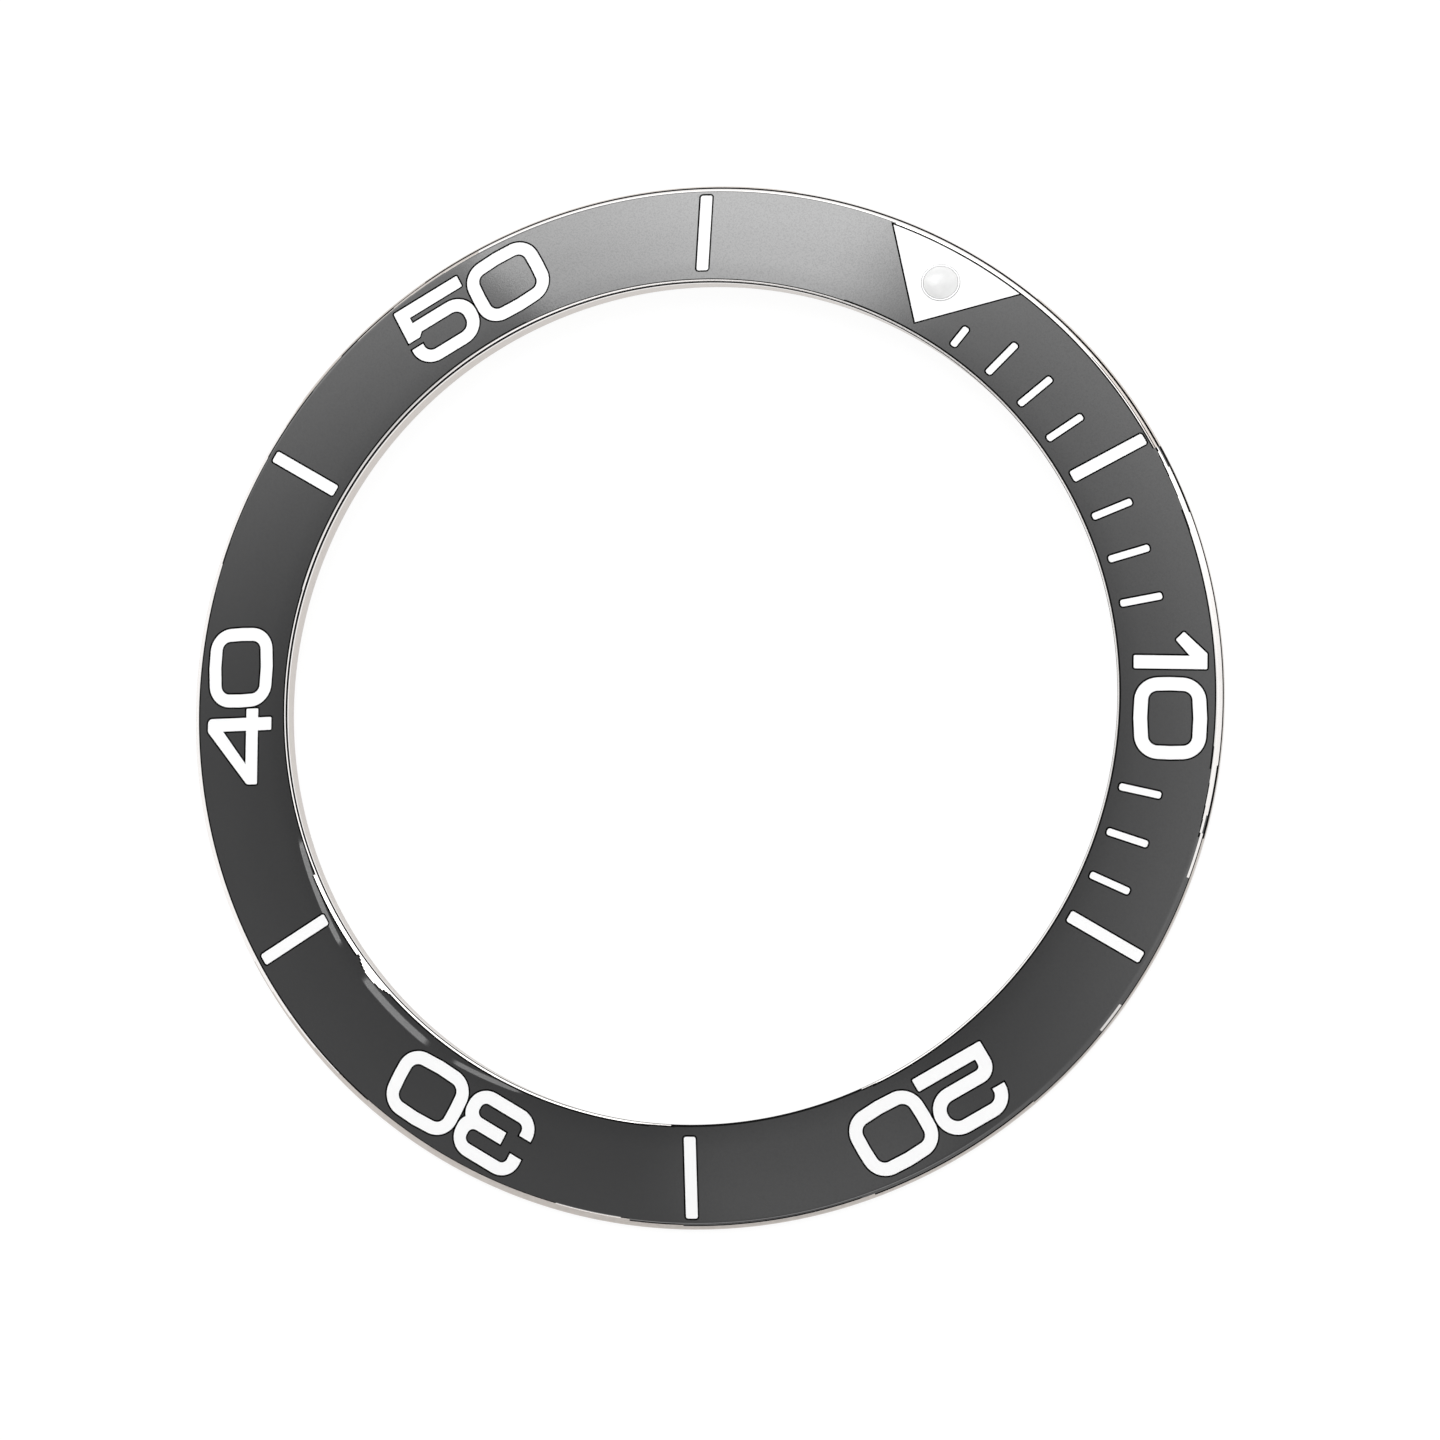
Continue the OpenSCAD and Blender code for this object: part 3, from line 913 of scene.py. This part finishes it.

# %% [markdown]
# The bright cuts aren't even all round, because the insert sat a little off centre when they
# were made, and the pattern below also paints the light and shade that the bevel mirrors: its
# black lines and black stretches are painted dark reflections, its dull metal is painted shade,
# and its three small bright spots are painted glints. A place on the bevel is told by its angle,
# in degrees clockwise from the zero mark, and by how far outside the face's edge it lies. Near
# the zero mark the bevel is bright between a black line at the face and another near its foot.
# Next the bright part has the shape of a long lens, after which the bevel stays black, with a
# dull foot. Then dull metal runs in from the foot, until it gives way to even, bright metal. On
# the last side the black line at the face climbs outwards, with bright metal inside it too.

# %% The sectors of the bevel
LENS_FROM = 31.5
BLACK_FROM = 75.5
RUN_IN_FROM = 98
RUN_IN_TO = 157
EVEN_FROM = 190
CLIMB_FROM = 250
CLIMB_TO = 300
ZERO_FROM = 352

spot_r, angle, spot_z = ring_net.around_axis(ring_net.node("GeometryNodeInputPosition"))
outside = spot_r - ring_in["Face end"]
by_zero = (angle < LENS_FROM) + (angle > ZERO_FROM)
lens_part = between(angle, LENS_FROM, BLACK_FROM)
still_black = between(angle, BLACK_FROM, RUN_IN_FROM)
run_in = between(angle, RUN_IN_FROM, RUN_IN_TO)
filled_out = between(angle, RUN_IN_TO, EVEN_FROM)
even_part = between(angle, EVEN_FROM, CLIMB_FROM)
climb = between(angle, CLIMB_FROM, CLIMB_TO)
climbed = between(angle, CLIMB_TO, ZERO_FROM)


def strip(start, end, inner, outer):
    """The part of the bevel between two angles and between two distances outside the face."""
    return between(angle, start, end) * between(outside, inner, outer)


# %% [markdown]
# Each rule below sums what holds in the sectors. The metal lies outside a limit, and a thin
# black line is left in it, a painted dark reflection. Some of the metal is dull, a painted shade,
# and three small bright spots are painted glints.

# %% How far the bright cuts reach on the bevel
LENS_AT = 0.065
LENS_HALF_W = 0.11
LENS_LINE_FROM = 0.13
LINE_FROM = 0.095
LINE_HALF_W = 0.03
FOOT = 0.165
PAST_FOOT = 1

lens_turn = (angle - (LENS_FROM + BLACK_FROM) / 2) / ((BLACK_FROM - LENS_FROM) / 2)
half_lens = LENS_HALF_W * (1 - lens_turn * lens_turn).math("MAXIMUM", 0) ** 0.5
lens_outer = half_lens + LENS_AT
beside_lens = lens_part * between(outside, lens_outer, LENS_LINE_FROM)
climbing_line = (angle - CLIMB_FROM) * 0.0027 - 0.005

# Thin black lines, painted dark reflections of the shade beside the ring
painted_dark_lines = ((by_zero + climbed) * between(outside, LINE_FROM, FOOT)
       + lens_part * between(outside, lens_outer.math("MAXIMUM", LENS_LINE_FROM), 0.19)
       + still_black * between(outside, 0.135, FOOT)
       + climb * between(outside - climbing_line, -LINE_HALF_W, LINE_HALF_W)
       + strip(19, LENS_FROM, -0.005, 0.03))
limit = (-0.05 * by_zero + (LENS_AT - half_lens) * lens_part + FOOT * still_black
         + (0.17 - (angle - RUN_IN_FROM) * 0.00175) * run_in + 0.03 * even_part
         + (CLIMB_TO - angle) * 0.003 * climb)
beyond_line = climb * (outside > climbing_line)
cut = (outside > limit).math("MAXIMUM", beyond_line) * (spot_z > 0.02)
metal = cut * (1 - painted_dark_lines - beside_lens)

# Dull metal painted where the bevel mirrors shade
shade_streak = strip(10, LENS_FROM, 0.11 - (angle - 10) * 0.0065, PAST_FOOT)
shade_foot = (lens_part + still_black + between(angle, CLIMB_TO, 340)) * (outside > FOOT)
shade_run_in = strip(RUN_IN_FROM, 213, (angle - EVEN_FROM) * 0.009, PAST_FOOT)
shade_inside = strip(270, 303, -PAST_FOOT, (angle - 268) * 0.02)
painted_dull_shade = metal * (shade_streak + shade_foot + shade_run_in + shade_inside)
# Three small bright spots, painted glints
painted_glints = (strip(75.2, 79.8, 0.055, 0.12) + strip(95.5, 98.8, 0.055, 0.12)
         + strip(158.2, 165.5, -0.055, 0.03))

# %% [markdown]
# At the bore, the bright chamfer runs out near 140 degrees, and near 200 it is widened over the
# rim as a painted glint. The materials are set by place: matt black all over, which stays in the
# recesses and on the broken corners, then gloss on the face up to a matt line at either side,
# which is a painted dark reflection, bright metal on the cuts made after anodising, and dull
# metal low in the bore, partly painted shade.

# %% How far they reach at the bore, and the paint
# Near 200 degrees the bright chamfer is widened over the rim as a painted glint
painted_rim_glint = ring_net.hill(angle, 196, 199, 201, 203.5)
runs_out = ring_net.hill(angle, 122, 128, 148, 160)
chamfer_to = (ring_in["Chamfer to"] + 0.18 * painted_rim_glint + 0.07 * between(angle, 203.5, 216)
              - 0.06 * runs_out - 0.025 * between(angle, 216, 256))
on_chamfer = between(spot_r, ring_in["Chamfer from"], chamfer_to) * (spot_z > 0.1)
in_bore = spot_r < ring_in["Bore radius"] + 0.002
bright_bore = in_bore * between(spot_z, ring_in["Bore height"], ring_in["Mouth from"])

# The matt lines beside the gloss at either rim are painted dark reflections
inner_line = ring_in["Black line"] * (1 - 0.5 * between(angle, 305, 350))
outer_line = (0.035 * (by_zero + run_in) + 0.045 * lens_part
              + 0.06 * filled_out + 0.07 * even_part)
face_here = ring_in["Face top"] - (spot_r - ring_in["Face start"]) * ring_in["Face fall"]
on_bevel = (outside > -0.09) * (spot_z > 0.1)
surface = (spot_z > face_here - 0.012).math("MAXIMUM", on_bevel)
within_lines = (spot_r > chamfer_to + inner_line) * (outside < limit - outer_line)
glossy = within_lines * surface * (1 - painted_dark_lines) + beside_lens * surface
bright_and_glints = on_chamfer + bright_bore + metal * (1 - painted_dull_shade) + painted_glints
dull_and_shaded = painted_dull_shade + in_bore * (spot_z < ring_in["Bore height"])

turned = paint(ring_net, turned, True, ring_in["Matt black and shade"])
turned = paint(ring_net, turned, glossy > 0.5, ring_in["Face material"])
turned = paint(ring_net, turned, bright_and_glints > 0.5, ring_in["Edge material"])
turned = paint(ring_net, turned, dull_and_shaded > 0.5, ring_in["Dull shade material"])
finish(ring_net, turned)
print("ring tree:", len(ring_net.tree.nodes), "nodes")

# %% [markdown]
# The profile is given corner by corner with small radii, because no real edge is sharp. Points
# without a radius only mark where one finish can end and the next begin. The cutters' layer
# starts at the recess floor and ends above the face. The recesses are wider than the fillings by
# a hair more than in the model, so that their dark outlines read as on the real one.

# %% Make the ring
RING_SEGMENTS = 720
LAP = 1.0
# Below the chamfer the bore stays matt black for MOUTH_H, a painted dark reflection, above a
# bright band LINE_H high
MOUTH_H = 0.17
LINE_H = 0.14
EDGE_ROUND = 0.03
FACE_OUT_ROUND = 0.12
FACE_IN_ROUND = 0.04
MOUTH_ROUND = 0.07
cut_low = face_z(FACE_IN_R) - CHAMFER_W
mouth_low = cut_low - MOUTH_H
line_low = mouth_low - LINE_H


def bevel_z(r):
    """Height of the bevel at a distance from the axis."""
    return WALL_H + (OUTER_R - r) / BEVEL_W * (face_z(FACE_OUT_R) - WALL_H)


bevel_rings = [OUTER_R - w for w in (0.045, 0.075, 0.115, 0.15)]
face_rings = [FACE_OUT_R - 0.09] + [FACE_IN_R + w for w in (0.21, 0.17, 0.14, 0.1, 0.07, 0.04)]
ring_profile = profile_of("ring_profile", rounded([
    (BORE_R, 0, EDGE_ROUND), (OUTER_R, 0, EDGE_ROUND), (OUTER_R, WALL_H, EDGE_ROUND),
    *[(r, bevel_z(r), 0) for r in bevel_rings],
    (FACE_OUT_R, face_z(FACE_OUT_R), FACE_OUT_ROUND),
    *[(r, face_z(r), 0) for r in face_rings],
    (FACE_IN_R, face_z(FACE_IN_R), FACE_IN_ROUND),
    (BORE_R, cut_low, MOUTH_ROUND), (BORE_R, mouth_low, 0), (BORE_R, line_low, 0),
]))


def face_layer(name, low, high):
    """A lathe profile between two heights measured from the face."""
    inner = BORE_R - LAP
    outer = OUTER_R + LAP
    return profile_of(name, [
        (inner, face_z(inner) + low), (outer, face_z(outer) + low),
        (outer, face_z(outer) + high), (inner, face_z(inner) + high),
    ])


PIP_R = FACE_OUT_R - 1.33
CUP_R = 0.695
PIP_DEPTH = 0.42
PIP_GAP = 0.01
pip_place = (0, PIP_R, face_z(PIP_R))
pip_lean = (-SLOPE, 0, 0)
pocket_values = {
    "Pocket radius": CUP_R + PIP_GAP, "Pocket depth": PIP_DEPTH,
    "Pocket place": pip_place, "Pocket lean": pip_lean,
}

GROOVE_W = 0.06
cut_marks = curve_of("cut_marks", [p for paths in marks(GROOVE_W).values() for p in paths])
cut_zeros = curve_of("cut_zeros", [p for paths in zeros(GROOVE_W).values() for p in paths])
cut_layer = face_layer("cut_layer", -RECESS_DEPTH, LAP)

ring = made_by(ring_net, "insert_ring", {
    "Profile": ring_profile, "Layer": cut_layer, "Marks": cut_marks, "Zeros": cut_zeros,
    "Segments": RING_SEGMENTS, "Cutter height": FACE_TOP + LAP, **pocket_values,
    "Face top": FACE_TOP, "Face start": FACE_IN_R, "Face fall": math.tan(SLOPE),
    "Face end": FACE_OUT_R, "Chamfer from": BORE_R + 0.02, "Chamfer to": FACE_IN_R + 0.01,
    "Black line": 0.065, "Bore radius": BORE_R, "Bore height": line_low, "Mouth from": mouth_low,
    "Face material": face_black, "Matt black and shade": matt_black_and_shade,
    "Edge material": edge_metal, "Dull shade material": dull_shade_metal,
})
print("ring:", len(ring.data.polygons), "faces, materials", [m.name for m in ring.data.materials])

# %% [markdown]
# Each filling is the same move the other way round: its outline, raised to a prism, is kept
# only inside a thin conical layer between the bond line and the sunk surface. One tree serves
# all twenty-seven, and each becomes its own mesh, because each is a piece of its own.

# %% The tree of the fillings, and the fillings
FACES_UP = 0.8
fill_net, fill_in = new_tree("sunk_filling", {
    "Object": ["Outline", "Layer"],
    "Int": ["Segments"],
    "Float": ["Cutter height", "Pocket radius", "Pocket depth"],
    "Vector": ["Pocket place"],
    "Rotation": ["Pocket lean"],
    "Material": ["Material", "Shaded side material"],
})
column = prism(fill_net, drawing(fill_net, fill_in["Outline"]), fill_in["Cutter height"])
layer = lathe(fill_net, drawing(fill_net, fill_in["Layer"]), fill_in["Segments"])
body = combine(fill_net, "INTERSECT", column, layer)
body = combine(fill_net, "DIFFERENCE", body, pocket(fill_net, fill_in))
facing = fill_net.node("ShaderNodeSeparateXYZ", inputs=[fill_net.node("GeometryNodeInputNormal")])
# The sides and floor of a filling are matt black, a painted shade in the groove round it
body = paint(fill_net, body, True, fill_in["Shaded side material"])
body = paint(fill_net, body, facing.named("Z") > FACES_UP, fill_in["Material"])
finish(fill_net, body)

fill_layer = face_layer("fill_layer", BOND_GAP - RECESS_DEPTH, -FILL_SINK)
fillings = {}
for node_name, paths in {**marks(0), **zeros(0)}.items():
    outline = curve_of("outline", paths)
    fillings[node_name] = made_by(fill_net, "enamel_" + node_name, {
        "Outline": outline, "Layer": fill_layer, "Segments": RING_SEGMENTS,
        "Cutter height": FACE_TOP + LAP, **pocket_values,
        "Material": white_enamel, "Shaded side material": matt_black_and_shade,
    })
    bpy.data.objects.remove(outline)
print("fillings:", len(fillings), "faces:", sum(len(f.data.polygons) for f in fillings.values()))

# %% [markdown]
# The pip's pieces are turned too, but about their own axis, which leans outwards with the face.
# Their open profiles start and end on the axis, where the lathe's merge shuts the poles. The
# dome of the lens is an arc that meets its rim.

# %% The tree of the pip, and its pieces
pip_net, pip_in = new_tree("turned_pip", {
    "Object": ["Profile"], "Int": ["Segments"],
    "Vector": ["Place"], "Rotation": ["Lean"], "Material": ["Material"],
})
body = lathe(pip_net, drawing(pip_net, pip_in["Profile"]), pip_in["Segments"])
body = tilted(pip_net, body, pip_in["Place"], pip_in["Lean"])
body = paint(pip_net, body, True, pip_in["Material"])
finish(pip_net, body)

PIP_SEGMENTS = 128
CUP_WALL = 0.06
CUP_FLOOR = 0.07
LENS_SEAT = 0.1
DOME_RISE = 0.09
DOME_STEPS = 24
cup_low = BOND_GAP - PIP_DEPTH
cup_bore = CUP_R - CUP_WALL
lens_r = cup_bore - PIP_GAP
lume_low = cup_low + CUP_FLOOR
dome_r = (lens_r ** 2 + DOME_RISE ** 2) / (2 * DOME_RISE)
dome_half = math.asin(lens_r / dome_r)
dome_turns = [dome_half * i / DOME_STEPS for i in range(DOME_STEPS + 1)]
dome = [(dome_r * math.sin(t), DOME_RISE - dome_r * (1 - math.cos(t))) for t in dome_turns]


def turned_pip(name, points, material):
    profile = profile_of("pip_profile", points, closed=False)
    piece = made_by(pip_net, name, {
        "Profile": profile, "Segments": PIP_SEGMENTS, "Place": pip_place, "Lean": pip_lean,
        "Material": material,
    })
    bpy.data.objects.remove(profile)
    return piece


cup_section = rounded([
    (0, cup_low, 0), (CUP_R, cup_low, 0.02), (CUP_R, 0, 0.02), (cup_bore, 0, 0.015),
    (cup_bore, lume_low, 0.01), (0, lume_low, 0),
])
lume_section = [(0, lume_low), (lens_r, lume_low), (lens_r, -LENS_SEAT), (0, -LENS_SEAT)]
lens_section = [(0, -LENS_SEAT), (lens_r, -LENS_SEAT)] + dome[::-1]
cup = turned_pip("pip_cup_steel", cup_section, steel)
lume_disc = turned_pip("pip_lume_disc", lume_section, lume)
lens = turned_pip("pip_dome_lens", lens_section, lens_clear)
print("pip:", [len(p.data.polygons) for p in (cup, lume_disc, lens)], "faces")

for template in (ring_profile, cut_marks, cut_zeros, cut_layer, fill_layer):
    bpy.data.objects.remove(template)

# %% [markdown]
# Each new piece rides on the insert's one body and stands for its node. The solid in the model
# stays there for the simulation, and isn't shown.

# %% Hand the pieces to the frame
def stand_for(piece, node):
    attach(piece, "root")
    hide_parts(node)


stand_for(ring, "bezel_ring")
for node_name, filling in fillings.items():
    stand_for(filling, node_name)
stand_for(cup, "pip_cup")
stand_for(lume_disc, "pip_lume")
stand_for(lens, "pip_lens")
print("pieces handed over:", 4 + len(fillings))

# %% [markdown]
# The insert lies on a white floor. For the light that bounces, the floor is a plain matt white.
# What the camera sees, and what the metal mirrors, is a darker matt with a glow, which lifts it
# to pure white and still leaves a soft shadow at the edges.

# %% The floor
FLOOR_HALF = 1.5
FLOOR_Z = -2e-5


def floor_material():
    material = bpy.data.materials.new("white_floor")
    material.use_nodes = True
    net = Net(material.node_tree)
    material.node_tree.nodes.clear()
    ray = net.node("ShaderNodeLightPath")
    rays = [ray.named("Is %s Ray" % kind) for kind in ("Camera", "Glossy", "Transmission")]
    seen = rays[0] + rays[1] + rays[2]
    plain_matt = net.node("ShaderNodeBsdfDiffuse", inputs={"Color": (0.85, 0.85, 0.85, 1)})
    dark_matt = net.node("ShaderNodeBsdfDiffuse", inputs={"Color": (0.16, 0.16, 0.16, 1)})
    glow = net.node("ShaderNodeEmission", inputs={"Color": (1, 1, 1, 1), "Strength": 0.88})
    lifted = net.node("ShaderNodeAddShader", inputs=[dark_matt, glow])
    shown = net.node("ShaderNodeMixShader", inputs=[seen, plain_matt, lifted])
    net.node("ShaderNodeOutputMaterial", inputs=[shown])
    return material


floor_mesh = bpy.data.meshes.new("floor")
floor_corners = [(x * FLOOR_HALF, y * FLOOR_HALF, FLOOR_Z)
                 for x, y in ((-1, -1), (1, -1), (1, 1), (-1, 1))]
floor_mesh.from_pydata(floor_corners, [], [(0, 1, 2, 3)])
floor_mesh.materials.append(floor_material())
floor = in_scene("floor", floor_mesh)

# %% [markdown]
# The light is a studio dome. Lamps could make it, but a sky has no noise and no hard shadow: an
# even grey-white that is brighter near the horizon, three round glows, a low broad light, and the
# bright softbox that the face mirrors as a light sector. The steep bevel mirrors the horizon,
# where a grey screen stands. Their places come from where the real face and bevel are bright or
# dark. All angles are in degrees.

# %% The studio light
# Each glow has an azimuth, an elevation, a reach, a core and a strength
GLOWS = [
    (329.6, 8, 80.6, 29, 1.235),
    (59.5, 40, 50.7, 1, 0.525),
    (162, 68.5, 11, 4, 0.22),
]
SCREEN_DIMS = 0.5


def glow(azimuth, elevation, reach, core, strength):
    """A round light that fades from core degrees off its centre to nothing at its reach."""
    near = sky.node("ShaderNodeVectorMath", {"operation": "DOT_PRODUCT"},
                    [look, direction(azimuth, elevation)], "Value")
    start, end = math.cos(math.radians(reach)), math.cos(math.radians(core))
    return sky.ramp(near, start, end, 0.0, strength)


world = bpy.data.worlds.new("studio")
bpy.context.scene.world = world
world.use_nodes = True
world.node_tree.nodes.clear()
sky = Net(world.node_tree)
look = sky.node("ShaderNodeTexCoord", output="Generated")
_, azimuth, rise = sky.around_axis(look)
bearing = azimuth - (azimuth > 180) * 360
altitude = rise.math("ARCSINE") * (180 / math.pi)

dome_light = sky.ramp(altitude, 8, 38, 0.75, 0.385)
glows = sum(glow(*values) for values in GLOWS)
low_light = sky.hill(azimuth, 100, 140, 222, 262) * sky.hill(altitude, 12, 20, 33, 43) * 1.2
screen = sky.hill(azimuth, 135, 150, 205, 222) * sky.ramp(altitude, 13, 9)

# The softbox leans, so its left and right edges shift with the altitude
left_edge = sky.ramp(bearing - 0.2 * (altitude - 50), -68, -66.6)
right_edge = sky.ramp(bearing + altitude - 56, -21, -39)
upright = sky.hill(altitude, 41, 45, 62, 66)
brightness = sky.ramp(bearing, -68, -46, 1.86, 2.84) * sky.ramp(altitude, 48, 57, 1, 1.08)
softbox = left_edge * right_edge * upright * brightness

lights = dome_light + glows + low_light + softbox
strength = lights * (1 - SCREEN_DIMS * screen)
backdrop = sky.node("ShaderNodeBackground", inputs={"Color": (1, 1, 1, 1), "Strength": strength})
sky.node("ShaderNodeOutputWorld", inputs=[backdrop])
print("sky:", len(world.node_tree.nodes), "nodes")
bpy.context.scene.view_settings.view_transform = "Standard"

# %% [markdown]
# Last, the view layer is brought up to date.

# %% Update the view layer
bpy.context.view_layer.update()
